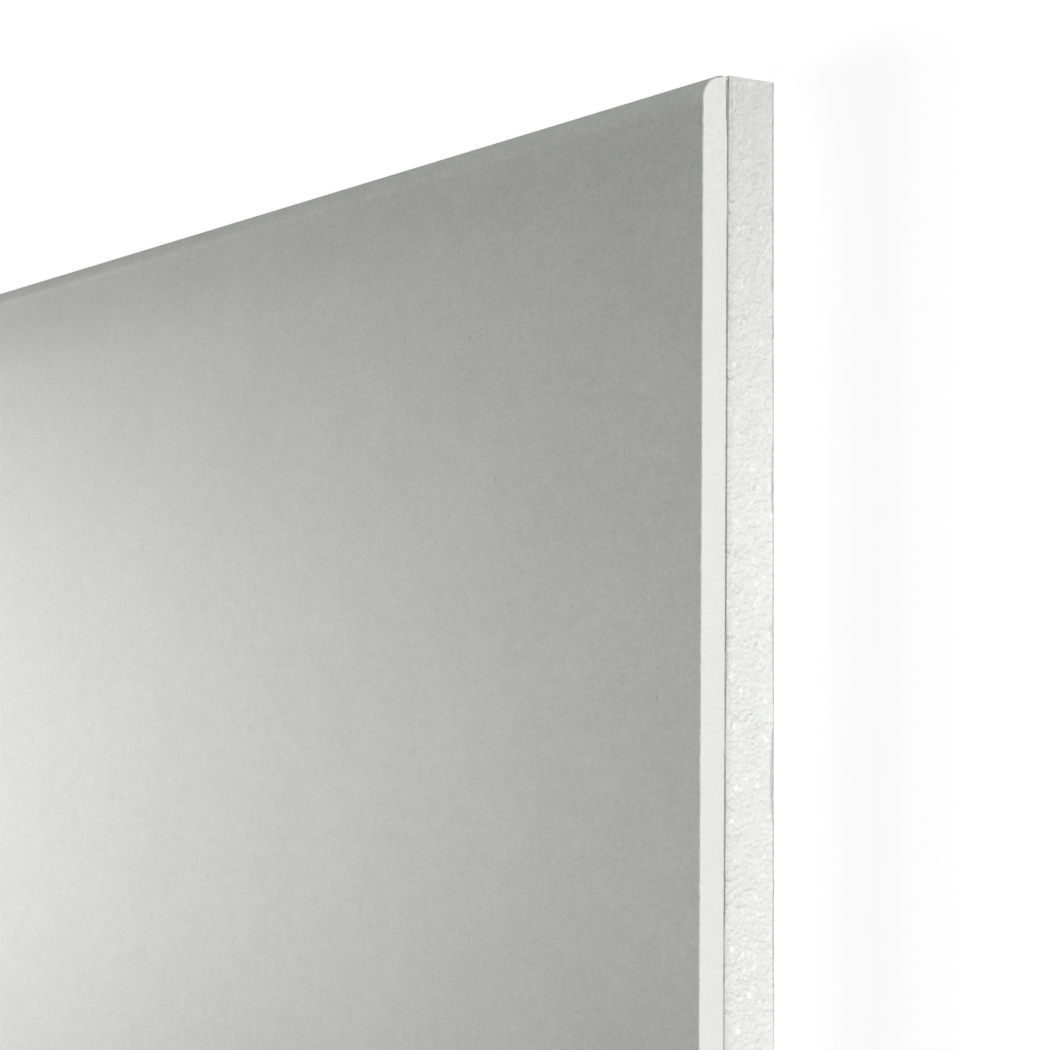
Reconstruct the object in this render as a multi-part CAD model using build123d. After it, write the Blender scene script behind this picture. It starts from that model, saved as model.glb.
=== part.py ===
from build123d import *
import os

# Insulated plasterboard sheet, in millimetres, lying flat with its paper face up.
# X runs along the paper-wrapped long edges, Y across the sheet and Z up from the foam's back.
# The origin is the centre of the foam's back face.
sheet_length = 2400.0
sheet_width = 1200.0

# Plasterboard: its thickness counts both papers
board_thickness = 9.5
edge_radius = 7.5
heel_bend_radius = 0.6

# Papers: the face paper turns under the board by its lap, and the back paper stops short of the long edges
face_paper_thickness = 0.4
back_paper_thickness = 0.4
paper_lap = 18.0
back_paper_setback = 2.5

# Foam board bonded to the back paper
foam_thickness = 17.5

# Heights of the layers
wrap_bottom = foam_thickness + back_paper_thickness
wrap_height = board_thickness - back_paper_thickness

# Outer rounding of the wrapped edge: the heel follows the paper, and the face side leaves a straight stretch
outer_heel_radius = heel_bend_radius + face_paper_thickness
edge_room = wrap_height - outer_heel_radius - face_paper_thickness
outer_edge_radius = min(edge_radius, edge_room)


def layer_section(width, height, bottom):
    """A rectangle across the sheet, with its lower side at the given height."""
    return Plane.YZ * Pos(0, bottom + height / 2) * Rectangle(width, height)


def rounded_section(width, height, bottom, top_radius, bottom_radius):
    """A layer section with its two upper and its two lower corners rounded."""
    section = layer_section(width, height, bottom)
    section = fillet(section.vertices().group_by(Axis.Z)[-1], top_radius)
    return fillet(section.vertices().group_by(Axis.Z)[0], bottom_radius)


def along_sheet(section):
    """The section drawn out to the whole length of the sheet."""
    return extrude(section, amount=sheet_length / 2, both=True)


def gypsum_section():
    """The core inside the wrap, with a tongue that fills the space between the two laps."""
    inside = rounded_section(
        sheet_width - 2 * face_paper_thickness,
        wrap_height - 2 * face_paper_thickness,
        wrap_bottom + face_paper_thickness,
        outer_edge_radius - face_paper_thickness,
        heel_bend_radius,
    )
    tongue = layer_section(sheet_width - 2 * paper_lap, face_paper_thickness, wrap_bottom)
    return inside + tongue


def face_paper_section():
    """The wrap: the outside of the board less its core."""
    outside = rounded_section(
        sheet_width, wrap_height, wrap_bottom, outer_edge_radius, outer_heel_radius
    )
    return outside - gypsum_section()


def back_paper_section():
    """The flat paper between the laps and the foam."""
    return layer_section(sheet_width - 2 * back_paper_setback, back_paper_thickness, foam_thickness)


def foam_section():
    """The foam board, as wide as the plasterboard."""
    return layer_section(sheet_width, foam_thickness, 0)


layers = {
    "face_paper": face_paper_section(),
    "gypsum_core": gypsum_section(),
    "back_paper": back_paper_section(),
    "foam_board": foam_section(),
}

os.makedirs("parts", exist_ok=True)
for name, section in layers.items():
    export_step(along_sheet(section), f"parts/{name}.step")
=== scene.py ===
import math
import random

import bpy
import numpy as np
from mathutils import Matrix, Vector, noise
from mathutils.geometry import delaunay_2d_cdt


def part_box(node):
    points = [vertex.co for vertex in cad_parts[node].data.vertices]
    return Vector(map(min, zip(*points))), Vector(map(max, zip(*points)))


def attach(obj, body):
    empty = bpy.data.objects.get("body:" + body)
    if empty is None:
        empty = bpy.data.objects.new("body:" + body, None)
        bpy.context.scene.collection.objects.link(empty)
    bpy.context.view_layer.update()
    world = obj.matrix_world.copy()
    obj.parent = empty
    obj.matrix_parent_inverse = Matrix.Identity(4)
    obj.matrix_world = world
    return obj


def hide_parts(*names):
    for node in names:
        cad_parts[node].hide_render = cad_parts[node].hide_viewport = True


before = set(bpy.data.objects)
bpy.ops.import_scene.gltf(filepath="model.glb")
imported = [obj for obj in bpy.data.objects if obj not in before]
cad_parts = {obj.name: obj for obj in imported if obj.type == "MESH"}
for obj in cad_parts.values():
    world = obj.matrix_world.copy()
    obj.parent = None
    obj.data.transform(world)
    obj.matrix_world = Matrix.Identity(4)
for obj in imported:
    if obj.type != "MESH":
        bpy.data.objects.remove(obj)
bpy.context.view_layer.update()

# The sheet lies flat, paper face up: X along the wrapped long edges, Y across, Z up, in metres.
# Sizes that the frame's boxes don't give
edge_radius = 0.0075
heel_bend_radius = 0.0006
paper_lap = 0.018

# Sizes read from the frame
foam_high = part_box("foam_board")[1]
face_paper_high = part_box("face_paper")[1]
core_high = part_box("gypsum_core")[1]
back_paper_low, back_paper_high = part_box("back_paper")
end_x = foam_high.x
edge_y = foam_high.y
foam_top = foam_high.z
wrap_bottom = back_paper_high.z
face_z = face_paper_high.z
paper_thickness = face_paper_high.z - core_high.z
outer_heel_radius = heel_bend_radius + paper_thickness

# Middles of the two bends of the wrapped edge, and the end of the lap
arc_y, arc_z = edge_y - edge_radius, face_z - edge_radius
heel_y, heel_z = edge_y - outer_heel_radius, wrap_bottom + outer_heel_radius
lap_y = edge_y - paper_lap

# Paper and core meshes: step along a cut end, rows up the core, and steps round the two bends
cut_step = 0.0006
core_rows = 11
arc_steps = 24
heel_steps = 6
quarter_turn = math.pi / 2
# Distances of the cross-sections from an end, and the width of the core's step at the end of the lap
end_sections = (0.0, 0.0005, 0.004)
lap_ramp = 0.00005
# Angles past which an edge of these meshes is sharp
paper_crease = math.radians(40.0)
core_crease = math.radians(50.0)

# The lapped paper thins out towards its end: over what length, and to what share of its thickness
lap_feather = 0.006
lap_end_share = 0.15

# Raggedness of the cut ends: frays, swelling of the papers, and dents of the core
fray_length = 0.0007
fray_wave_length = 0.008
fray_wave_share = 0.2
paper_fray = 0.0001
paper_swell_share = 1.0
lap_swell_share = 3.5
swell_rest_share = 0.5
back_paper_lip = 0.0007
lip_rest_share = 0.45
core_setback = 0.00012
core_wave = 0.0001
core_wave_length = 0.024
core_grain = 0.00006
core_grain_length = 0.0016

# How far the foam's long sides stand proud of the wrapped edges
foam_proud = 0.0003
foam_edge_y = edge_y + foam_proud

# Foam beads on the edge faces: their spacing, tilt and dome, and the depths of the dents between them
bead_size = 0.0035
bead_jitter_share = 0.3
bead_inset_share = 0.24
bead_tilt = math.radians(4.5)
bead_step = 0.00008
bead_dome = 0.0001
groove_low, groove_high = 0.00004, 0.0002
groove_skew = 2.5
pit_chance = 0.06
pit_low, pit_high = 0.0003, 0.0006

# Layout of the bead cells: free strip at a sheet corner, mirrored band, and when two places count as one
corner_clear_share = 0.22
mirror_bands = 2.2
join_distance = 0.00012
hex_row_share = math.sqrt(3) / 2
delaunay_tolerance = 1e-9
delaunay_hull, delaunay_inside = 0, 1

# Wear of the foam along the seam with the back paper, less near the sheet's corners
seam_wear = 0.00025
seam_pit_chance = 0.3
seam_pit_low, seam_pit_high = 0.0006, 0.0012
seam_drop_share = 0.3
corner_wear_share = 0.15
corner_wear_length = 0.008

# The foam's floor-side arris: height of its scuffed facet, and how far that leans in
arris_low, arris_high = 0.0003, 0.0009
arris_wave_length = 0.03
arris_lean_share = 0.2
# Longer scuffs in that arris: middle along Y, half length and extra height, and how blunt they are
arris_scuffs = ((0.391, 0.0155, 0.0009), (0.481, 0.012, 0.0005))
scuff_bluntness = 4

# The saw cut through the foam leans: its floor side lies behind its top, or before it, in a slow wave
lean_high = 0.0021
lean_length = 1.6
lean_middle = 0.44
lean_reach = 0.1

# Grid of the foam's flat top and bottom
cap_inset = 0.005
cap_grid = 0.06

# Noise textures: their detail, their roughness and the middle of their range
noise_detail, fine_detail, soft_detail = 3.0, 4.0, 1.0
noise_roughness = 0.6
noise_middle = (0.3, 0.7)

# Face paper: colour, patterns as size, lowest and highest value, and a bump as strength and height
paper_colour = (0.411, 0.42, 0.387)
paper_clouds = (0.05, 0.955, 1.045)
paper_blotches = (0.005, 0.964, 1.036)
paper_mottle = (0.0011, 0.895, 1.105)
paper_streaks = (0.0014, 0.983, 1.017)
paper_rough = (0.004, 0.49, 0.51)
paper_grain = 0.0008
paper_bump = (0.015, 0.0001)
# Scales that stretch the mottle along the sheet and the streaks across it
fibre_scale = (0.5, 1.0, 1.0)
streak_scale = (1.0, 0.2, 1.0)

# Dark fibres in the face paper: their places on the face, their size, soft rim and tone
face_fibres = ((1.0598, 0.5329), (1.0777, 0.4835), (1.1772, 0.4137))
fibre_width = 0.0014
fibre_length = 0.0018
fibre_core_share, fibre_rim_share = 0.3, 0.6
fibre_tone = 0.68

# Sparse flecks all over the face paper: their spacing, size, soft rim and tone
fleck_spacing = 0.12
fleck_radius = fibre_width / 2
fleck_core_share = 0.4
fleck_tone = 0.82

# The band across the start of the face paper's bend that has painted light, lighter in colour, and its tone
bend_light_before, bend_light_after = 0.0022, 0.0012
bend_light_tone = 1.155
# The depths below the face between which painted shade sets in on that bend, and its tone
bend_shade_start, bend_shade_depth = 0.0008, 0.004
bend_shade_tone = 0.67

# The face paper is rougher along the long edges: where that sets in, where it is full, and by what share
rough_start, rough_full = 0.045, 0.02
rough_edge_share = 1.11

# Gypsum dust on the papers' cut ends: how far it reaches in, its patch on the heel, and its range of noise
dust_depth = 0.00025
heel_dust = 0.0008
dust_range = (0.52, 0.64)
# The size of the dust's patches and their most cover, for each paper
face_dust = (0.005, 0.35)
back_dust = (0.03, 0.4)

# Gypsum: colour, patterns and bump as for the paper, darker round the sheet's corners, and painted shade
# along the seam
gypsum_colour = (0.826, 0.826, 0.809)
gypsum_clouds = (0.012, 0.99, 1.01)
gypsum_grain = (0.0012, 0.974, 1.026)
gypsum_rough = 0.9
gypsum_pores = 0.0006
gypsum_bump = (0.2, 0.0001)
gypsum_corner_reach, gypsum_corner_tone = 0.12, 0.94
gypsum_seam_shade_reach, gypsum_seam_shade_tone = 0.005, 0.99
# Scuffs of the gypsum near a corner: their size, the distances over which they fade, and their tones
gypsum_scuff = 0.002
gypsum_scuff_near, gypsum_scuff_far = 0.01, 0.07
gypsum_scuff_tones = (0.945, 1.055)

# Back paper: colour, patterns and bump as for the face paper
back_paper_colour = (0.3, 0.295, 0.27)
back_paper_mottle = (0.002, 0.85, 1.15)
back_paper_rough = 0.85
back_paper_grain = 0.0008
back_paper_bump = (0.3, 0.0001)

# Foam: colour, patterns and bump as for the paper, darker round the corners, and painted shade along the seam
foam_colour = (0.842, 0.849, 0.835)
foam_bead_tones = (0.98, 1.02)
foam_grain = (0.001, 0.98, 1.02)
foam_rough = (0.0015, 0.32, 0.55)
foam_relief = 0.0017
foam_bump = (1.0, 0.00034)
foam_corner_reach, foam_corner_tone = 0.13, 0.795
foam_seam_shade_reach, foam_seam_shade_tone = 0.0024, 0.86
# Tone of the painted shade on the floor-side arris facet, and the bead value of faces that have no bead
arris_shade_tone = 0.78
plain_bead = 0.5

# Painted highlights of the foam's beads: spacing, radii as shares of it, fray of their outlines, dull share
# and tone
glint_spacing = 0.0027
glint_low_share, glint_high_share = 0.15, 0.37
glint_fray = (0.0008, 0.6, 1.4)
glint_dull_share = 0.55
painted_glint_tone = 1.29
# The painted highlights fade towards the darker corners: between which distances, and to what share
glint_fade_near, glint_fade_far = 0.02, 0.28
glint_fade_low_share = 0.5

# Sockets of a mix of two vectors, by number because their names repeat
mix_factor, mix_first, mix_second, mix_result = 0, 4, 5, 1

# Floor: half its side, gap below the sheet, colour, and the light of its own, which rises with the distance
floor_reach = 15.0
floor_gap = 0.0002
floor_colour = (0.86, 0.86, 0.86, 1.0)
floor_near, floor_far = 1.6, 3.5
floor_near_light, floor_far_light = 0.57, 0.8

# Room light from all round, and lamps: place, the point that each shines at, side length and power
white = (1.0, 1.0, 1.0, 1.0)
room_light = 0.24
softboxes = {
    "far_softbox": ((-6.8, -0.27, 2.7), (0.8, 0.4, 0.0), 2.8, 272.0),
    "upper_softbox": ((3.9, 2.0, 3.5), (0.8, 0.5, 0.0), 1.2, 16.0),
    "end_softbox": ((6.0, 1.75, 0.83), (1.2, 0.4, 0.0), 1.8, 170.0),
}

# Camera: lens and sensor in millimetres, its turns, and its place from the sheet's near corner
camera_lens, camera_sensor = 85.714, 36.0
camera_turn, camera_pitch, camera_roll = (math.radians(angle) for angle in (59.39, 1.593, 0.387))
camera_across, camera_up, camera_away = -0.0520, -0.1555, 0.7398
camera_near, camera_far = 0.01, 100.0

# Random draws of the beads
bead_random_seed = 7
rng = random.Random(bead_random_seed)


def unit_noise(x, y, z=0.0):
    """Smooth noise between 0 and 1."""
    return min(1.0, max(0.0, (1.0 + noise.noise(Vector((x, y, z)))) / 2))


def ragged(along, across, end):
    """How ragged a cut end is at a place, between 0 and 1: short frays on longer waves."""
    short = unit_noise(along / fray_length, across / fray_length, end)
    wave = unit_noise(along / fray_wave_length, across / fray_wave_length, -end)
    return short + fray_wave_share * (wave - short)


def spaced(start, stop, step):
    """Evenly spaced values from start up to, but without, stop."""
    count = max(1, round(abs(stop - start) / step))
    return [start + (stop - start) * i / count for i in range(count)]


def add_piece(name, vertices, faces, material, node):
    """A mesh piece that stands for a CAD node."""
    mesh = bpy.data.meshes.new(name)
    mesh.from_pydata(vertices, [], faces)
    mesh.materials.append(material)
    mesh.shade_smooth()
    piece = bpy.data.objects.new(name, mesh)
    bpy.context.scene.collection.objects.link(piece)
    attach(piece, "root")
    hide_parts(node)
    return piece


def quad_strip(first, second):
    """Quads between two equally long rows of vertex numbers."""
    return list(zip(first, first[1:], second[1:], second))


def section_places():
    """X of each cross-section, close together near the two ends."""
    near = [end_x - distance for distance in end_sections]
    return near + [-x for x in reversed(near)]


def sleeve_faces(count, sections):
    """Faces of a closed sheet whose cross-sections each have a row of outer and a row of inner vertices."""
    outers = [list(range(2 * count * i, 2 * count * i + count)) for i in range(sections)]
    inners = [[number + count for number in outer] for outer in outers]
    faces = quad_strip(outers[0], inners[0]) + quad_strip(inners[-1], outers[-1])
    for i in range(sections - 1):
        faces += quad_strip(outers[i + 1], outers[i]) + quad_strip(inners[i], inners[i + 1])
        for edge in (0, -1):
            rim = (outers[i][edge], inners[i][edge], inners[i + 1][edge], outers[i + 1][edge])
            faces.append(rim[::-1] if edge else rim)
    return faces


def lap_share(y):
    """The share of its full thickness that the lapped paper has at a place."""
    inside = max(0.0, abs(y) - lap_y) / lap_feather
    return min(1.0, lap_end_share + (1.0 - lap_end_share) * inside)


# Face paper

def arc_points(centre_y, centre_z, radius, turns):
    """Points (y, z) on an arc at the given turns, with outward normals."""
    normals = [(math.cos(turn), math.sin(turn)) for turn in turns]
    return [(centre_y + radius * ny, centre_z + radius * nz, ny, nz) for ny, nz in normals]


def wrap_profile():
    """Points across the outside of the wrapped paper, from lap end to lap end, with outward normals."""
    heel_turns = [quarter_turn * (i / heel_steps - 1) for i in range(heel_steps + 1)]
    edge_turns = [quarter_turn * i / arc_steps for i in range(arc_steps)]
    half = [(y, wrap_bottom, 0.0, -1.0) for y in spaced(lap_y, heel_y, cut_step)]
    half += arc_points(heel_y, heel_z, outer_heel_radius, heel_turns)
    half += arc_points(arc_y, arc_z, edge_radius, edge_turns)
    half += [(y, face_z, 0.0, 1.0) for y in spaced(arc_y, 0.0, cut_step)]
    return half + [(0.0, face_z, 0.0, 1.0)] + [(-y, z, -ny, nz) for y, z, ny, nz in reversed(half)]


def make_face_paper(material):
    """The face paper, wrapped round both long edges, with slightly frayed cut ends."""
    profile = wrap_profile()
    vertices = []
    places = section_places()
    for x in places:
        side = math.copysign(1.0, x)
        at_end = abs(x) == end_x
        inside = []
        for y, z, ny, nz in profile:
            in_lap = nz < 0.0 and ny == 0.0
            rough = ragged(y, z, side) if at_end else 0.0
            swell_share = lap_swell_share if in_lap else paper_swell_share
            swell = swell_share * (rough - swell_rest_share) if at_end else 0.0
            depth = paper_thickness * (lap_share(y) if in_lap else 1.0) * (1.0 + swell)
            frayed_x = x - side * paper_fray * rough
            vertices.append((frayed_x, y, z))
            inside.append((frayed_x, y - ny * depth, z - nz * depth))
        vertices += inside
    faces = sleeve_faces(len(profile), len(places))
    piece = add_piece("wrapped_face_paper", vertices, faces, material, "face_paper")
    piece.data.set_sharp_from_angle(angle=paper_crease)


# Gypsum core

def core_columns():
    """Y of each column across the core with the bottom and top of the core there."""
    inner_radius = edge_radius - paper_thickness
    ys = [arc_y + inner_radius * math.cos(quarter_turn * i / arc_steps) for i in range(arc_steps)]
    ys += spaced(arc_y, lap_y, cut_step) + [lap_y] + spaced(lap_y - lap_ramp, 0.0, cut_step)
    half = []
    for y in ys:
        out = min(inner_radius, max(0.0, y - arc_y))
        top = arc_z + math.sqrt(inner_radius**2 - out**2)
        heel_out = min(heel_bend_radius, max(0.0, y - heel_y))
        bottom = heel_z - math.sqrt(heel_bend_radius**2 - heel_out**2)
        bottom -= paper_thickness * (1.0 - lap_share(y))
        half.append((y, wrap_bottom if y < lap_y else bottom, top))
    return half + [(0.0, wrap_bottom, half[-1][2])] + [(-y, low, high) for y, low, high in reversed(half)]


def core_dent(y, z, side):
    """How far the cut face lies behind the sheet's end: slow waves and a fine grain."""
    wave = unit_noise(y / core_wave_length, z / core_wave_length, side)
    grain = unit_noise(y / core_grain_length, z / core_grain_length, side)
    return core_setback + core_wave * wave + core_grain * grain


def make_core(material):
    """The gypsum core, with a gridded cut face at each end."""
    columns = core_columns()
    per_column = core_rows + 1
    vertices = []
    for side in (1.0, -1.0):
        for y, low, high in columns:
            for row in range(per_column):
                z = low + (high - low) * row / core_rows
                vertices.append((side * (end_x - core_dent(y, z, side)), y, z))
    per_end = len(columns) * per_column
    faces = []
    for i in range(len(columns) - 1):
        for row in range(core_rows):
            a = i * per_column + row
            b = a + per_column
            faces.append((a, a + 1, b + 1, b))
            faces.append(tuple(number + per_end for number in (a, b, b + 1, a + 1)))
    bottom = [i * per_column for i in range(len(columns))]
    top = [number + core_rows for number in bottom]
    first = list(range(per_column))
    last = [bottom[-1] + row for row in first]
    for rim in (bottom, top[::-1], first[::-1], last):
        faces += quad_strip(rim, [number + per_end for number in rim])
    piece = add_piece("cut_gypsum_core", vertices, faces, material, "gypsum_core")
    piece.data.set_sharp_from_angle(angle=core_crease)


# Back paper

def make_back_paper(material):
    """The flat back paper, with cut ends that are frayed to an uneven lip."""
    half_width = back_paper_high.y
    ys = spaced(-half_width, half_width, cut_step) + [half_width]
    vertices = []
    places = section_places()
    for x in places:
        side = math.copysign(1.0, x)
        at_end = abs(x) == end_x
        for z, outward in ((back_paper_low.z, -1.0), (back_paper_high.z, 1.0)):
            for y in ys:
                rough = ragged(y, z, side)
                fray = side * paper_fray * rough if at_end else 0.0
                lip = back_paper_lip * (rough - lip_rest_share) if at_end else 0.0
                vertices.append((x - fray, y, z + outward * lip))
    faces = sleeve_faces(len(ys), len(places))
    piece = add_piece("back_paper_liner", vertices, faces, material, "back_paper")
    piece.data.set_sharp_from_angle(angle=paper_crease)


# Foam board: its four edge faces are unrolled to one strip, u along the rim and v up the foam.
# Each side of the rim has a start, a direction and an outward normal.

rim_sides = (
    (Vector((end_x, -foam_edge_y)), Vector((0, 1)), Vector((1, 0))),
    (Vector((end_x, foam_edge_y)), Vector((-1, 0)), Vector((0, 1))),
    (Vector((-end_x, foam_edge_y)), Vector((0, -1)), Vector((-1, 0))),
    (Vector((-end_x, -foam_edge_y)), Vector((1, 0)), Vector((0, -1))),
)
side_lengths = [2 * foam_edge_y, 2 * end_x, 2 * foam_edge_y, 2 * end_x]
rim_length = sum(side_lengths)
rim_corners = [sum(side_lengths[:i]) for i in range(len(side_lengths))]


def bead_seeds():
    """Bead centres (u, v) in jittered, staggered rows. Those past a corner mirror those before it, so that
    the beads' cells meet along the corner."""
    rows = round(foam_top / (bead_size * hex_row_share))
    columns = round(rim_length / bead_size)
    jitter = bead_jitter_share
    seeds = []
    for row in range(rows):
        for column in range(columns):
            u = (column + row % 2 / 2 + rng.uniform(-jitter, jitter)) * rim_length / columns
            v = (row + 1 / 2 + rng.uniform(-jitter, jitter)) * foam_top / rows
            seeds.append((u % rim_length, v))
    clear, band = corner_clear_share * bead_size, mirror_bands * bead_size
    for corner in rim_corners:
        before = [(u, v) for u, v in seeds if clear < (corner - u) % rim_length < band]
        seeds = [
            (u, v)
            for u, v in seeds
            if (u - corner) % rim_length > band and (corner - u) % rim_length > clear
        ]
        seeds += [((2 * corner - u) % rim_length, v) for u, v in before]
    return seeds


def padded_points(seeds):
    """The seeds with copies past the strip's ends and mirror images past its top and bottom, and the seed
    number of each point that isn't a copy."""
    band = mirror_bands * bead_size
    points, owners = [], []
    for number, (u, v) in enumerate(seeds):
        for shift in (0.0, -rim_length, rim_length):
            if not -band < u + shift < rim_length + band:
                continue
            for height, copied in ((v, shift != 0.0), (-v, True), (2 * foam_top - v, True)):
                if -band < height < foam_top + band:
                    points.append(Vector((u + shift, height)))
                    owners.append(None if copied else number)
    return points, owners


def circumcentres(points, triangles):
    """The centre of the circle through each triangle's corners."""
    a, b, c = (points[triangles[:, i]] for i in range(3))
    b, c = b - a, c - a
    twice = 2 * (b[:, 0] * c[:, 1] - b[:, 1] * c[:, 0])
    bb, cc = (b**2).sum(1), (c**2).sum(1)
    x = (c[:, 1] * bb - b[:, 1] * cc) / twice
    y = (b[:, 0] * cc - c[:, 0] * bb) / twice
    return a + np.stack([x, y], 1)


def corner_gap(u, corner):
    """The distance along the rim from a place to a sheet corner."""
    return min((u - corner) % rim_length, (corner - u) % rim_length)


def snapped(u, v):
    """A cell corner moved onto the strip's rim or a sheet corner if it is that near."""
    if v < join_distance:
        v = 0.0
    elif v > foam_top - join_distance:
        v = foam_top
    u %= rim_length
    for corner in rim_corners:
        if corner_gap(u, corner) < join_distance:
            u = corner
    return u, v


def numbered_corners(places):
    """A number for each place, shared by those closer than the join distance, and the places so numbered."""
    kept, grid, numbers = [], {}, []
    for u, v in places:
        u, v = snapped(u, v)
        cell = (round(u / join_distance), round(v / join_distance))
        near = [grid.get((cell[0] + i, cell[1] + j)) for i in (0, -1, 1) for j in (0, -1, 1)]
        near = [number for number in near if number is not None]
        if not near:
            grid[cell] = len(kept)
            near = [len(kept)]
            kept.append((u, v))
        numbers.append(near[0])
    return numbers, kept


def bead_cells(seeds):
    """The beads' cells: the shared corners (u, v), and for each seed the numbers of its corners in order."""
    points, owners = padded_points(seeds)
    found = delaunay_2d_cdt(points, [], [], delaunay_hull, delaunay_tolerance)
    found_points, _, found_faces, sources, _, _ = found
    places = np.array([tuple(point) for point in found_points])
    origins = [next((owners[i] for i in ids if owners[i] is not None), None) for ids in sources]
    triangles = np.array([face for face in found_faces if any(origins[i] is not None for i in face)])
    centres = circumcentres(places, triangles)
    numbers, corners = numbered_corners(centres)
    rings = [[] for _ in seeds]
    for triangle, centre, number in zip(triangles, centres, numbers):
        for i in triangle:
            if origins[i] is not None:
                offset = centre - places[i]
                rings[origins[i]].append((math.atan2(offset[1], offset[0]), number))
    cells = []
    for ring in rings:
        ordered = [number for _, number in sorted(ring)]
        cells.append([number for i, number in enumerate(ordered) if number != ordered[i - 1]])
    return corners, cells


def side_number(u):
    """Which edge face a place on the rim is on."""
    return max(i for i, corner in enumerate(rim_corners) if u >= corner)


def rim_point(u, v, depth):
    """The point of the rim at u and v, moved into the foam by the depth: at a sheet corner, by both faces."""
    number = side_number(u)
    start, along, normal = rim_sides[number]
    flat = start + along * (u - rim_corners[number]) - normal * depth
    if u in rim_corners:
        _, _, other_normal = rim_sides[number - 1]
        flat -= other_normal * depth
    return (flat.x, flat.y, v)


def arris_height(u):
    """Height of the scuffed facet along the floor-side arris."""
    height = arris_low + (arris_high - arris_low) * unit_noise(u / arris_wave_length, 0.0)
    if side_number(u) == 0:
        y = u - foam_edge_y
        for place, half, extra in arris_scuffs:
            height += max(0.0, extra * (1.0 - ((y - place) / half) ** scuff_bluntness))
    return height


def raised(u, v):
    """The height of a place on the strip: the beads start above the arris facet."""
    return v + arris_height(u) * (1.0 - v / foam_top)


def wear_left(u):
    """The share of the usual wear at a place: little at a sheet corner, all of it further on."""
    distance = min(corner_gap(u, corner) for corner in rim_corners)
    return corner_wear_share + (1.0 - corner_wear_share) * min(1.0, distance / corner_wear_length)


def corner_point(u, v):
    """A cell corner, sunk by its groove or pit, and worn along the seam."""
    depth = groove_low + (groove_high - groove_low) * rng.random() ** groove_skew
    if rng.random() < pit_chance:
        depth = rng.uniform(pit_low, pit_high)
    left = wear_left(u)
    drop = 0.0
    if v == foam_top:
        wear = seam_wear * rng.random()
        if rng.random() < seam_pit_chance:
            wear = rng.uniform(seam_pit_low, seam_pit_high)
        wear *= left
        depth, drop = depth + wear, seam_drop_share * wear
    return rim_point(u, raised(u, v) - drop, depth * left)


def bead_faces(seed, ring, corners, vertices, domed):
    """Adds one bead's own vertices and returns its faces: a dome in its ring of corners, or a plain fan."""
    u0, v0 = seed
    sunk = rng.uniform(0.0, bead_step)
    tilt_u, tilt_v = (math.tan(bead_tilt * rng.uniform(-1.0, 1.0)) for _ in range(2))
    side = side_number(u0)
    start, along, normal = rim_sides[side]

    def bead_point(du, dv, rise):
        depth = max(0.0, bead_dome + sunk + tilt_u * du + tilt_v * dv - rise)
        flat = start + along * (u0 + du - rim_corners[side]) - normal * depth
        vertices.append((flat.x, flat.y, raised(u0, v0 + dv)))
        return len(vertices) - 1

    centre = bead_point(0.0, 0.0, bead_dome)
    inner = ring
    faces = []
    if domed:
        inner = []
        for number in ring:
            u, v = corners[number]
            du = (u - u0 + rim_length / 2) % rim_length - rim_length / 2
            inner.append(bead_point(du * (1 - bead_inset_share), (v - v0) * (1 - bead_inset_share), 0.0))
        faces = quad_strip(ring + ring[:1], inner + inner[:1])
    return faces + [(a, b, centre) for a, b in zip(inner, inner[1:] + inner[:1])]


def arris_faces(loop, corners, vertices):
    """Adds the scuffed facet below the loop of lowest corners, and returns its faces and its lower loop."""
    lower = []
    for number in loop:
        u = corners[number][0]
        lower.append(len(vertices))
        vertices.append(rim_point(u, 0.0, arris_lean_share * arris_height(u)))
    return quad_strip(lower + lower[:1], loop + loop[:1]), lower


def leaned(x, y, z):
    """A point of the foam, moved by the lean of the saw cut if it is near an end."""
    near = max(0.0, 1.0 - (end_x - abs(x)) / lean_reach)
    lean = lean_high * math.sin(math.tau * (y - lean_middle) / lean_length)
    return (x - math.copysign(near, x) * lean * (1.0 - z / foam_top), y, z)


def cap_band(loop, vertices, z):
    """A band inside the loop of arris corners, and the loop of its inner vertices."""
    limit_x, limit_y = end_x - cap_inset, edge_y - cap_inset
    numbers, inside = {}, []
    for number in loop:
        x, y, _ = vertices[number]
        place = (max(-limit_x, min(limit_x, x)), max(-limit_y, min(limit_y, y)))
        if place not in numbers:
            numbers[place] = len(vertices)
            vertices.append((*place, z))
        inside.append(numbers[place])
    band = []
    for i, number in enumerate(loop):
        face = [loop[i - 1], number, inside[i], inside[i - 1]]
        band.append(tuple(dict.fromkeys(face)))
    return band, [number for i, number in enumerate(inside) if number != inside[i - 1]]


def cap_middle(rim, vertices, z):
    """Triangles over a sparse grid within a rim of vertices."""
    flat = [Vector(vertices[number][:2]) for number in rim]
    grid_x = spaced(-end_x + cap_grid, end_x - cap_grid / 2, cap_grid)
    grid_y = spaced(-edge_y + cap_grid, edge_y - cap_grid / 2, cap_grid)
    flat += [Vector((x, y)) for x in grid_x for y in grid_y]
    outline = list(range(len(rim)))
    found = delaunay_2d_cdt(flat, [], [outline], delaunay_inside, delaunay_tolerance)
    found_points, _, found_faces, sources, _, _ = found
    numbers = []
    for place, source in zip(found_points, sources):
        if source and source[0] < len(rim):
            numbers.append(rim[source[0]])
        else:
            numbers.append(len(vertices))
            vertices.append((place.x, place.y, z))
    return [tuple(numbers[i] for i in face) for face in found_faces]


def cap_faces(loop, vertices, z, upward):
    """The flat top or bottom within the loop of arris corners."""
    band, rim = cap_band(loop, vertices, z)
    faces = band + cap_middle(rim, vertices, z)
    return faces if upward else [face[::-1] for face in faces]


def level_loop(corners, height):
    """Numbers of the cell corners at a height of the strip, in order along the rim."""
    return sorted((i for i, (_, v) in enumerate(corners) if v == height), key=lambda i: corners[i][0])


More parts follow.
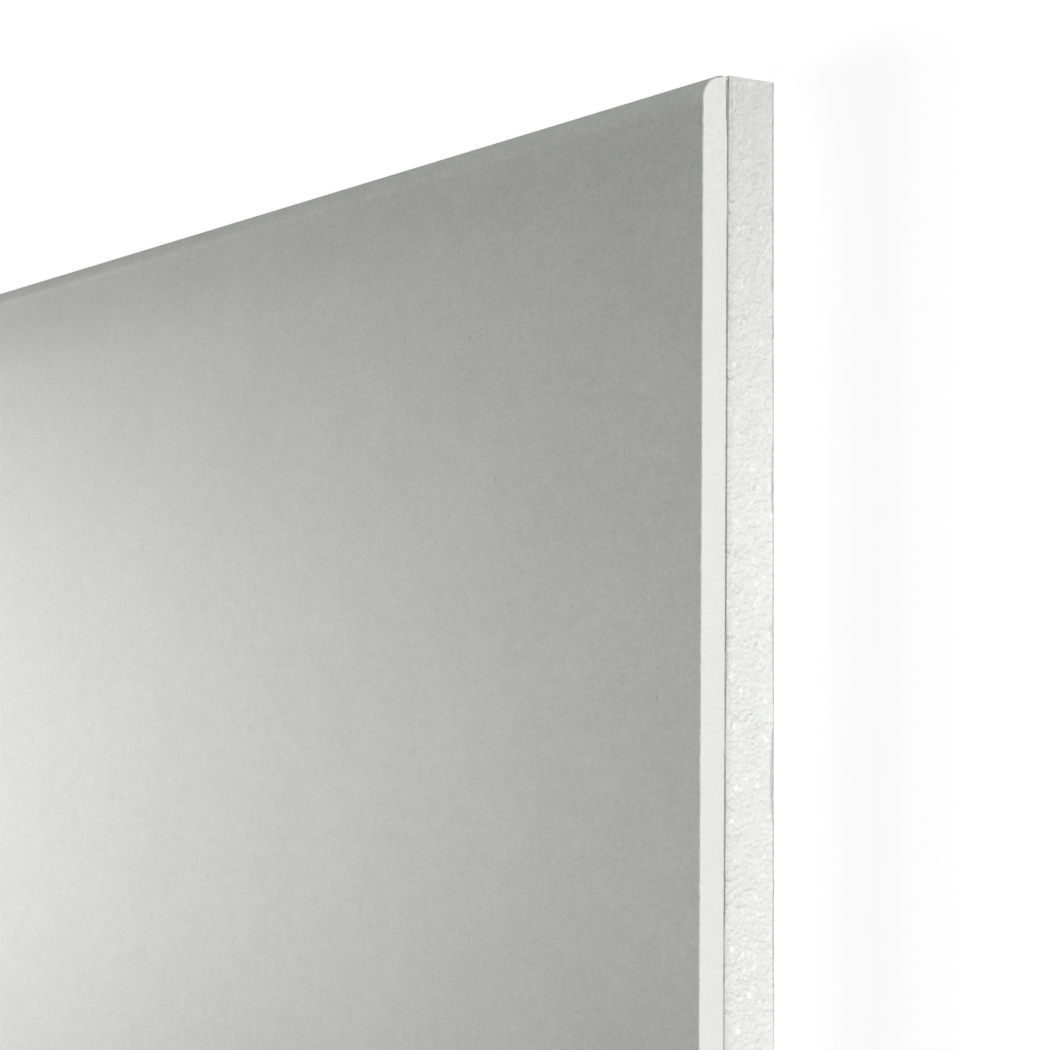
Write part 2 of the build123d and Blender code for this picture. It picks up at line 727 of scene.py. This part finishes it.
def mark_foam(mesh, corner_count, tones, scuffs):
    """Makes the edges between cell corners sharp, and stores each face's tone and whether it is on the arris
    facet.
    """
    ends = np.zeros(2 * len(mesh.edges), np.int32)
    mesh.edges.foreach_get("vertices", ends)
    crease = (ends.reshape(-1, 2) < corner_count).all(1)
    mesh.attributes.new("sharp_edge", "BOOLEAN", "EDGE").data.foreach_set("value", crease)
    mesh.attributes.new("bead_tone", "FLOAT", "FACE").data.foreach_set("value", tones)
    mesh.attributes.new("arris_facet", "FLOAT", "FACE").data.foreach_set("value", scuffs)


def make_foam(material):
    """The foam board, with beads in relief on its four edge faces."""
    seeds = bead_seeds()
    corners, cells = bead_cells(seeds)
    vertices = [corner_point(u, v) for u, v in corners]
    beads, tones = [], []
    for seed, ring in zip(seeds, cells):
        if len(ring) < 3:
            continue
        made = bead_faces(seed, ring, corners, vertices, domed=side_number(seed[0]) % 2 == 0)
        beads += made
        tones += [rng.random()] * len(made)
    facet, floor_loop = arris_faces(level_loop(corners, 0.0), corners, vertices)
    caps = cap_faces(floor_loop, vertices, 0.0, upward=False)
    caps += cap_faces(level_loop(corners, foam_top), vertices, foam_top, upward=True)
    tones += [plain_bead] * len(facet + caps)
    scuffs = [0.0] * len(beads) + [1.0] * len(facet) + [0.0] * len(caps)
    vertices = [leaned(*vertex) for vertex in vertices]
    piece = add_piece("bead_foam_board", vertices, beads + facet + caps, material, "foam_board")
    mark_foam(piece.data, len(corners), tones, scuffs)


# Materials

def set_inputs(tree, node, inputs):
    """Sets a node's inputs to values, or links them to sockets."""
    for name, value in inputs.items():
        if isinstance(value, bpy.types.NodeSocket):
            tree.links.new(value, node.inputs[name])
        else:
            node.inputs[name].default_value = value


def add_node(tree, kind, inputs=None, **settings):
    """A node with its settings and inputs."""
    made = tree.nodes.new(kind)
    for name, value in settings.items():
        setattr(made, name, value)
    set_inputs(tree, made, inputs or {})
    return made


def new_material(name):
    """An empty node material with its tree, Principled shader and the place on the object in metres."""
    material = bpy.data.materials.new(name)
    material.use_nodes = True
    tree = material.node_tree
    place = add_node(tree, "ShaderNodeTexCoord").outputs["Object"]
    return material, tree, tree.nodes["Principled BSDF"], place


def stretched(tree, place, scale):
    """The place with its axes scaled, to stretch a pattern."""
    return add_node(tree, "ShaderNodeMapping", {"Vector": place, "Scale": scale}).outputs["Vector"]


def mapped(tree, value, low_in, high_in, low, high):
    """A value moved from one range to another, held at its ends."""
    inputs = {"Value": value, "From Min": low_in, "From Max": high_in, "To Min": low, "To Max": high}
    return add_node(tree, "ShaderNodeMapRange", inputs).outputs["Result"]


def noise_value(tree, place, feature, low=0.0, high=1.0, detail=noise_detail, middle=noise_middle):
    """Noise with features of a size in metres, mapped from its middle range to low and high."""
    inputs = {"Vector": place, "Scale": 1.0 / feature, "Detail": detail, "Roughness": noise_roughness}
    value = add_node(tree, "ShaderNodeTexNoise", inputs).outputs["Fac"]
    return mapped(tree, value, *middle, low, high)


def product(tree, *values):
    """The product of several values."""
    result = values[0]
    for value in values[1:]:
        inputs = {0: result, 1: value}
        result = add_node(tree, "ShaderNodeMath", inputs, operation="MULTIPLY").outputs["Value"]
    return result


def greater(tree, first, second):
    """The greater of two values."""
    return add_node(tree, "ShaderNodeMath", {0: first, 1: second}, operation="MAXIMUM").outputs["Value"]


def toned(tree, colour, tone):
    """A colour made lighter or darker by a tone."""
    inputs = {0: colour, "Scale": tone}
    return add_node(tree, "ShaderNodeVectorMath", inputs, operation="SCALE").outputs["Vector"]


def bumped(tree, height, strength, distance):
    """A normal from a height."""
    inputs = {"Height": height, "Strength": strength, "Distance": distance}
    return add_node(tree, "ShaderNodeBump", inputs).outputs["Normal"]


def axes(tree, place):
    """The X, Y and Z of a place."""
    return add_node(tree, "ShaderNodeSeparateXYZ", {"Vector": place}).outputs


def mirrored(tree, place):
    """The place's distances from the sheet's middle along the three axes."""
    return add_node(tree, "ShaderNodeVectorMath", {0: place}, operation="ABSOLUTE").outputs["Vector"]


def face_attribute(tree, name):
    """A value that the mesh stores for each face."""
    return add_node(tree, "ShaderNodeAttribute", attribute_name=name).outputs["Fac"]


def corner_distance(tree, place, z):
    """Distance to the nearest of the sheet's four corners at a height."""
    inputs = {0: mirrored(tree, place), 1: (end_x, edge_y, z)}
    return add_node(tree, "ShaderNodeVectorMath", inputs, operation="DISTANCE").outputs["Value"]


def fibre_shade(tree, place, fibre):
    """Tone of one dark fibre, a thin ellipse on the face, and 1 away from it."""
    inputs = {0: place, 1: (*fibre, face_z)}
    offset = add_node(tree, "ShaderNodeVectorMath", inputs, operation="SUBTRACT").outputs["Vector"]
    scaled = stretched(tree, offset, (1.0 / fibre_width, 1.0 / fibre_length, 0.0))
    distance = add_node(tree, "ShaderNodeVectorMath", {0: scaled}, operation="LENGTH").outputs["Value"]
    return mapped(tree, distance, fibre_core_share, fibre_rim_share, fibre_tone, 1.0)


def fleck_shade(tree, place):
    """Tone of sparse faint flecks of darker pulp all over the paper."""
    inputs = {"Vector": place, "Scale": 1.0 / fleck_spacing}
    distance = add_node(tree, "ShaderNodeTexVoronoi", inputs).outputs["Distance"]
    radius = fleck_radius / fleck_spacing
    return mapped(tree, distance, radius * fleck_core_share, radius, fleck_tone, 1.0)


def bend_shade(tree, place):
    """Tone of the paper round the long edges: painted light at the start of the bend, painted shade lower
    down.
    """
    from_middle = axes(tree, mirrored(tree, place))
    # Painted light: the start of the bend is made lighter in colour
    painted_light = mapped(tree, from_middle["Y"], arc_y - bend_light_before, arc_y + bend_light_after, 1.0, bend_light_tone)
    # Painted shade: lower down the bend is made darker in colour
    painted_shade = mapped(tree, from_middle["Z"], face_z - bend_shade_depth, face_z - bend_shade_start, bend_shade_tone, 1.0)
    return product(tree, painted_light, painted_shade)


def dusted(tree, place, colour, patch_length, most_cover):
    """A paper's colour with gypsum dust in patches on the cut ends, and all over the heel at a corner."""
    along = axes(tree, mirrored(tree, place))["X"]
    at_end = mapped(tree, along, end_x - dust_depth, end_x - dust_depth / 2, 0.0, 1.0)
    patches = noise_value(tree, place, patch_length, high=most_cover, middle=dust_range)
    distance = corner_distance(tree, place, wrap_bottom + heel_dust)
    heel = mapped(tree, distance, heel_dust, 2 * heel_dust, 1.0, 0.0)
    cover = product(tree, greater(tree, patches, heel), at_end)
    inputs = {mix_factor: cover, mix_first: colour, mix_second: gypsum_colour}
    return add_node(tree, "ShaderNodeMix", inputs, data_type="VECTOR").outputs[mix_result]


def face_paper_material():
    """Matt grey board paper: cloudy, with a fine mottle, faint streaks and a few dark fibres."""
    material, tree, shader, place = new_material("grey_face_paper")
    along_fibres = stretched(tree, place, fibre_scale)
    tones = [
        noise_value(tree, place, *paper_clouds),
        noise_value(tree, along_fibres, *paper_blotches),
        noise_value(tree, along_fibres, *paper_mottle),
        noise_value(tree, stretched(tree, place, streak_scale), *paper_streaks),
        fleck_shade(tree, place),
        bend_shade(tree, place),
    ]
    tones += [fibre_shade(tree, place, fibre) for fibre in face_fibres]
    colour = toned(tree, paper_colour, product(tree, *tones))
    across = axes(tree, mirrored(tree, place))["Y"]
    edge_rough = mapped(tree, across, edge_y - rough_start, edge_y - rough_full, 1.0, rough_edge_share)
    set_inputs(tree, shader, {
        "Base Color": dusted(tree, place, colour, *face_dust),
        "Roughness": product(tree, noise_value(tree, place, *paper_rough), edge_rough),
        "Normal": bumped(tree, noise_value(tree, place, paper_grain), *paper_bump),
    })
    return material


def gypsum_material():
    """Chalky white gypsum with a faint grain and small pores, scuffed and darker near the corners, with
    painted shade along the seam.
    """
    material, tree, shader, place = new_material("white_gypsum")
    distance = corner_distance(tree, place, wrap_bottom)
    near_corner = mapped(tree, distance, gypsum_scuff_near, gypsum_scuff_far, 1.0, 0.0)
    scuffs = product(tree, noise_value(tree, place, gypsum_scuff, -1.0, 1.0), near_corner)
    height = axes(tree, place)["Z"]
    tone = product(
        tree,
        noise_value(tree, place, *gypsum_clouds),
        noise_value(tree, place, *gypsum_grain),
        # Darker towards the sheet's corners
        mapped(tree, distance, 0.0, gypsum_corner_reach, gypsum_corner_tone, 1.0),
        mapped(tree, scuffs, -1.0, 1.0, *gypsum_scuff_tones),
        # Painted shade along the seam with the back paper
        mapped(tree, height, wrap_bottom, wrap_bottom + gypsum_seam_shade_reach, gypsum_seam_shade_tone, 1.0),
    )
    pores = noise_value(tree, place, gypsum_pores, detail=fine_detail)
    set_inputs(tree, shader, {
        "Base Color": toned(tree, gypsum_colour, tone),
        "Roughness": gypsum_rough,
        "Normal": bumped(tree, pores, *gypsum_bump),
    })
    return material


def back_paper_material():
    """Coarse grey-brown back paper."""
    material, tree, shader, place = new_material("grey_back_paper")
    tone = noise_value(tree, place, *back_paper_mottle, detail=fine_detail)
    grain = noise_value(tree, place, back_paper_grain, detail=fine_detail)
    set_inputs(tree, shader, {
        "Base Color": dusted(tree, place, toned(tree, back_paper_colour, tone), *back_dust),
        "Roughness": back_paper_rough,
        "Normal": bumped(tree, grain, *back_paper_bump),
    })
    return material


def painted_glint_spots(tree, place):
    """1 in the middle of small frayed spots of painted highlight, where a bead catches the light, 0
    elsewhere.
    """
    cells = add_node(tree, "ShaderNodeTexVoronoi", {"Vector": place, "Scale": 1.0 / glint_spacing}).outputs
    frayed = product(tree, cells["Distance"], noise_value(tree, place, *glint_fray))
    spots = mapped(tree, frayed, glint_low_share, glint_high_share, 1.0, 0.0)
    pick = add_node(tree, "ShaderNodeTexWhiteNoise", {"Vector": cells["Position"]}).outputs["Value"]
    return product(tree, spots, mapped(tree, pick, glint_dull_share, 1.0, 0.0, 1.0))


def foam_material():
    """White bead foam: each bead has its own tone, with a fine cell grain and painted glints, darker towards
    the corners, with painted shade along the seam and on the floor-side arris."""
    material, tree, shader, place = new_material("white_bead_foam")
    distance = corner_distance(tree, place, foam_top / 2)
    height = axes(tree, place)["Z"]
    glint_fade = mapped(tree, distance, glint_fade_near, glint_fade_far, glint_fade_low_share, 1.0)
    painted_glints = product(tree, painted_glint_spots(tree, place), glint_fade)
    tone = product(
        tree,
        mapped(tree, face_attribute(tree, "bead_tone"), 0.0, 1.0, *foam_bead_tones),
        noise_value(tree, place, *foam_grain),
        # Darker towards the sheet's corners
        mapped(tree, distance, 0.0, foam_corner_reach, foam_corner_tone, 1.0),
        # Painted shade on the facet along the floor-side arris
        mapped(tree, face_attribute(tree, "arris_facet"), 0.0, 1.0, 1.0, arris_shade_tone),
        # Painted shade along the seam with the back paper
        mapped(tree, height, foam_top - foam_seam_shade_reach, foam_top, 1.0, foam_seam_shade_tone),
        # Painted highlights: the glints are made lighter in colour
        mapped(tree, painted_glints, 0.0, 1.0, 1.0, painted_glint_tone),
    )
    relief = noise_value(tree, place, foam_relief, detail=soft_detail)
    set_inputs(tree, shader, {
        "Base Color": toned(tree, foam_colour, tone),
        "Roughness": noise_value(tree, place, *foam_rough),
        "Normal": bumped(tree, relief, *foam_bump),
    })
    return material


# Stage

def seen_directly(tree):
    """1 for rays from the camera and for those that gloss or glass sends on, 0 for light."""
    rays = add_node(tree, "ShaderNodeLightPath").outputs
    total = rays["Is Camera Ray"]
    for name in ("Is Glossy Ray", "Is Transmission Ray"):
        total = greater(tree, total, rays[name])
    return total


def floor_material():
    """A pale floor with a light of its own that only direct looks see, so that it reads as white."""
    material, tree, shader, place = new_material("pale_floor")
    tree.nodes.remove(shader)
    diffuse = add_node(tree, "ShaderNodeBsdfDiffuse", {"Color": floor_colour}).outputs["BSDF"]
    distance = add_node(tree, "ShaderNodeVectorMath", {0: place}, operation="LENGTH").outputs["Value"]
    own_light = mapped(tree, distance, floor_near, floor_far, floor_near_light, floor_far_light)
    strength = product(tree, seen_directly(tree), own_light)
    glow = add_node(tree, "ShaderNodeEmission", {"Strength": strength}).outputs["Emission"]
    both = add_node(tree, "ShaderNodeAddShader", {0: diffuse, 1: glow}).outputs["Shader"]
    tree.links.new(both, tree.nodes["Material Output"].inputs["Surface"])
    return material


def make_floor():
    """A square floor just below the sheet, which keeps the sheet's shadow."""
    mesh = bpy.data.meshes.new("floor")
    corners = ((-1, -1), (1, -1), (1, 1), (-1, 1))
    vertices = [(floor_reach * x, floor_reach * y, -floor_gap) for x, y in corners]
    mesh.from_pydata(vertices, [], [(0, 1, 2, 3)])
    mesh.materials.append(floor_material())
    floor = bpy.data.objects.new("floor", mesh)
    bpy.context.scene.collection.objects.link(floor)


def make_world():
    """Soft light from all round, seen as white."""
    world = bpy.data.worlds.new("soft_room")
    bpy.context.scene.world = world
    world.use_nodes = True
    tree = world.node_tree
    strength = mapped(tree, seen_directly(tree), 0.0, 1.0, room_light, 1.0)
    set_inputs(tree, tree.nodes["Background"], {"Color": white, "Strength": strength})


def add_softbox(name, place, aim, size, power):
    """A square soft lamp that shines from its place to a point."""
    lamp = bpy.data.lights.new(name, "AREA")
    lamp.shape = "SQUARE"
    lamp.size = size
    lamp.energy = power
    light = bpy.data.objects.new(name, lamp)
    light.location = place
    light.rotation_euler = (Vector(aim) - Vector(place)).to_track_quat("-Z", "Y").to_euler()
    bpy.context.scene.collection.objects.link(light)


def turned(first, second, angle):
    """Two axes at right angles, turned in their plane so that the first moves towards the second."""
    c, s = math.cos(angle), math.sin(angle)
    return first * c + second * s, second * c - first * s


def make_camera():
    """A camera that sees the sheet's near corner as the photograph does, from above the cut end, with the
    sheet's width upright in the picture."""
    right = Vector((math.cos(camera_turn), 0.0, -math.sin(camera_turn)))
    upright = Vector((0.0, 1.0, 0.0))
    back = Vector((math.sin(camera_turn), 0.0, math.cos(camera_turn)))
    near_corner = Vector((end_x, edge_y, face_z))
    place = near_corner + right * camera_across + upright * camera_up + back * camera_away
    upright, back = turned(upright, back, camera_pitch)
    right, upright = turned(right, upright, camera_roll)
    data = bpy.data.cameras.new("camera")
    data.lens = camera_lens
    data.sensor_width = camera_sensor
    data.clip_start = camera_near
    data.clip_end = camera_far
    camera = bpy.data.objects.new("camera", data)
    turns = Matrix((right, upright, back)).transposed().to_4x4()
    camera.matrix_world = Matrix.Translation(place) @ turns
    bpy.context.scene.collection.objects.link(camera)
    bpy.context.scene.camera = camera


make_face_paper(face_paper_material())
make_core(gypsum_material())
make_back_paper(back_paper_material())
make_foam(foam_material())

make_floor()
make_world()
for name, values in softboxes.items():
    add_softbox(name, *values)
make_camera()
bpy.context.scene.view_settings.view_transform = "Standard"
